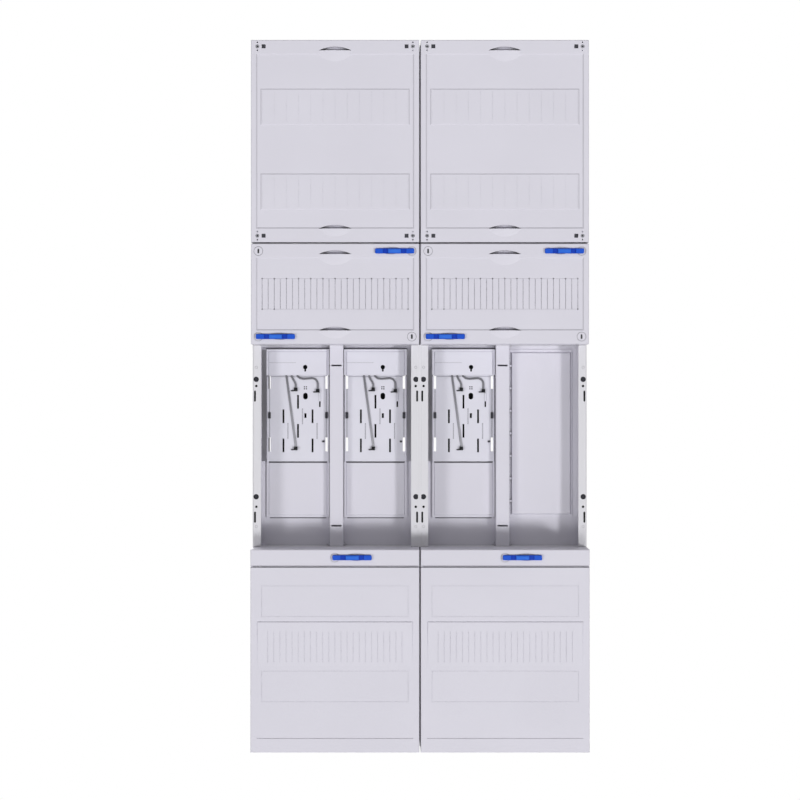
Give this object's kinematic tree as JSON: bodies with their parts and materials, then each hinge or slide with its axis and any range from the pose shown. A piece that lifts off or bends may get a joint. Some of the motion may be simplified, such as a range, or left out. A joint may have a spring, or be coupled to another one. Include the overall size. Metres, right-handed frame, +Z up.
{
  "type": "meter board",
  "caption": "Two-field meter board: steel rails carry pull-off covers with blue quarter-turn levers, plug-in meter places and a busbar space.",
  "frame": {"origin": "middle of the rear fixing holes, on the wall plane", "axes": "+X to the right seen from the front, +Y from the front to the wall, +Z up"},
  "size_m": [0.4996, 0.1551, 1.0485],
  "materials": {
    "cover_plastic": "fine matt",
    "plate_plastic": "fine matt",
    "rail_steel": "powder coat",
    "rail_zinc": "zinc plated",
    "lever_plastic": "satin",
    "screw_steel": "dark",
    "black_plastic": "matt",
    "support_plastic": "matt",
    "wire_sheath": "smooth",
    "contact_brass": "bright",
    "busbar_copper": "bare copper"
  },
  "bodies": {
    "frame": {"rail_outer_left": "rail_steel", "rail_inner_left": "rail_steel", "rail_inner_right": "rail_steel", "rail_outer_right": "rail_steel", "cross_rail_upper_left": "rail_steel", "cross_rail_upper_right": "rail_steel", "cross_rail_lower_left": "rail_steel", "cross_rail_lower_right": "rail_steel", "device_rail_top_left": "rail_zinc", "device_rail_middle_left": "rail_zinc", "device_rail_breaker_left": "rail_zinc", "device_rail_top_right": "rail_zinc", "device_rail_middle_right": "rail_zinc", "device_rail_breaker_right": "rail_zinc", "meter_carrier_left": "cover_plastic", "meter_carrier_right": "cover_plastic", "middle_bar_left": "cover_plastic", "middle_bar_right": "cover_plastic", "meter_plate_1": "plate_plastic", "meter_plate_2": "plate_plastic", "meter_plate_3": "plate_plastic", "shroud_1": "plate_plastic", "shroud_2": "plate_plastic", "shroud_3": "plate_plastic", "insert_panel_1": "cover_plastic", "insert_panel_2": "cover_plastic", "insert_panel_3": "cover_plastic", "meter_wires_1": "wire_sheath", "meter_wires_2": "wire_sheath", "meter_wires_3": "wire_sheath", "contact_housings": "black_plastic", "contact_jaws": "contact_brass", "terminals": "black_plastic", "side_catches": "black_plastic", "blank_panel": "cover_plastic", "busbars_left": "busbar_copper", "busbars_right": "busbar_copper", "busbar_supports_left": "support_plastic", "busbar_supports_right": "support_plastic"},
    "upper_cover_left": {"upper_cover_left": "cover_plastic", "sealing_screws_left": "screw_steel"},
    "breaker_cover_left": {"breaker_cover_left": "cover_plastic"},
    "lower_cover_left": {"lower_cover_left": "cover_plastic", "lock_strip_left": "cover_plastic"},
    "breaker_lever_top_left": {"breaker_lever_top_left": "lever_plastic"},
    "latch_screw_top_left": {"latch_screw_top_left": "cover_plastic"},
    "breaker_lever_bottom_left": {"breaker_lever_bottom_left": "lever_plastic"},
    "latch_screw_bottom_left": {"latch_screw_bottom_left": "cover_plastic"},
    "lower_lever_left": {"lower_lever_left": "lever_plastic"},
    "upper_cover_right": {"upper_cover_right": "cover_plastic", "sealing_screws_right": "screw_steel"},
    "breaker_cover_right": {"breaker_cover_right": "cover_plastic"},
    "lower_cover_right": {"lower_cover_right": "cover_plastic", "lock_strip_right": "cover_plastic"},
    "breaker_lever_top_right": {"breaker_lever_top_right": "lever_plastic"},
    "latch_screw_top_right": {"latch_screw_top_right": "cover_plastic"},
    "breaker_lever_bottom_right": {"breaker_lever_bottom_right": "lever_plastic"},
    "latch_screw_bottom_right": {"latch_screw_bottom_right": "cover_plastic"},
    "lower_lever_right": {"lower_lever_right": "lever_plastic"}
  },
  "joints": [
    {"name": "upper_cover_left_pull", "type": "slide", "parent": "frame", "child": "upper_cover_left", "axis": [0, -1, 0], "range_m": [0, 0.12]},
    {"name": "breaker_cover_left_pull", "type": "slide", "parent": "frame", "child": "breaker_cover_left", "axis": [0, -1, 0], "range_m": [0, 0.12]},
    {"name": "lower_cover_left_pull", "type": "slide", "parent": "frame", "child": "lower_cover_left", "axis": [0, -1, 0], "range_m": [0, 0.12]},
    {"name": "breaker_lever_top_left_turn", "type": "hinge", "parent": "breaker_cover_left", "child": "breaker_lever_top_left", "pos_m": [-0.012, -0.139, 0.213], "axis": [0, -1, 0], "range_deg": [0, 90]},
    {"name": "latch_screw_top_left_turn", "type": "hinge", "parent": "breaker_cover_left", "child": "latch_screw_top_left", "pos_m": [-0.238, -0.139, 0.213], "axis": [0, -1, 0], "range_deg": [0, 90]},
    {"name": "breaker_lever_bottom_left_turn", "type": "hinge", "parent": "breaker_cover_left", "child": "breaker_lever_bottom_left", "pos_m": [-0.238, -0.139, 0.087], "axis": [0, -1, 0], "range_deg": [0, 90]},
    {"name": "latch_screw_bottom_left_turn", "type": "hinge", "parent": "breaker_cover_left", "child": "latch_screw_bottom_left", "pos_m": [-0.012, -0.139, 0.087], "axis": [0, -1, 0], "range_deg": [0, 90]},
    {"name": "lower_lever_left_turn", "type": "hinge", "parent": "lower_cover_left", "child": "lower_lever_left", "pos_m": [-0.125, -0.15, -0.23775], "axis": [0, 1, 0], "range_deg": [0, 90]},
    {"name": "upper_cover_right_pull", "type": "slide", "parent": "frame", "child": "upper_cover_right", "axis": [0, -1, 0], "range_m": [0, 0.12]},
    {"name": "breaker_cover_right_pull", "type": "slide", "parent": "frame", "child": "breaker_cover_right", "axis": [0, -1, 0], "range_m": [0, 0.12]},
    {"name": "lower_cover_right_pull", "type": "slide", "parent": "frame", "child": "lower_cover_right", "axis": [0, -1, 0], "range_m": [0, 0.12]},
    {"name": "breaker_lever_top_right_turn", "type": "hinge", "parent": "breaker_cover_right", "child": "breaker_lever_top_right", "pos_m": [0.238, -0.139, 0.213], "axis": [0, -1, 0], "range_deg": [0, 90]},
    {"name": "latch_screw_top_right_turn", "type": "hinge", "parent": "breaker_cover_right", "child": "latch_screw_top_right", "pos_m": [0.012, -0.139, 0.213], "axis": [0, -1, 0], "range_deg": [0, 90]},
    {"name": "breaker_lever_bottom_right_turn", "type": "hinge", "parent": "breaker_cover_right", "child": "breaker_lever_bottom_right", "pos_m": [0.012, -0.139, 0.087], "axis": [0, -1, 0], "range_deg": [0, 90]},
    {"name": "latch_screw_bottom_right_turn", "type": "hinge", "parent": "breaker_cover_right", "child": "latch_screw_bottom_right", "pos_m": [0.238, -0.139, 0.087], "axis": [0, -1, 0], "range_deg": [0, 90]},
    {"name": "lower_lever_right_turn", "type": "hinge", "parent": "lower_cover_right", "child": "lower_lever_right", "pos_m": [0.125, -0.15, -0.23775], "axis": [0, 1, 0], "range_deg": [0, 90]}
  ]
}
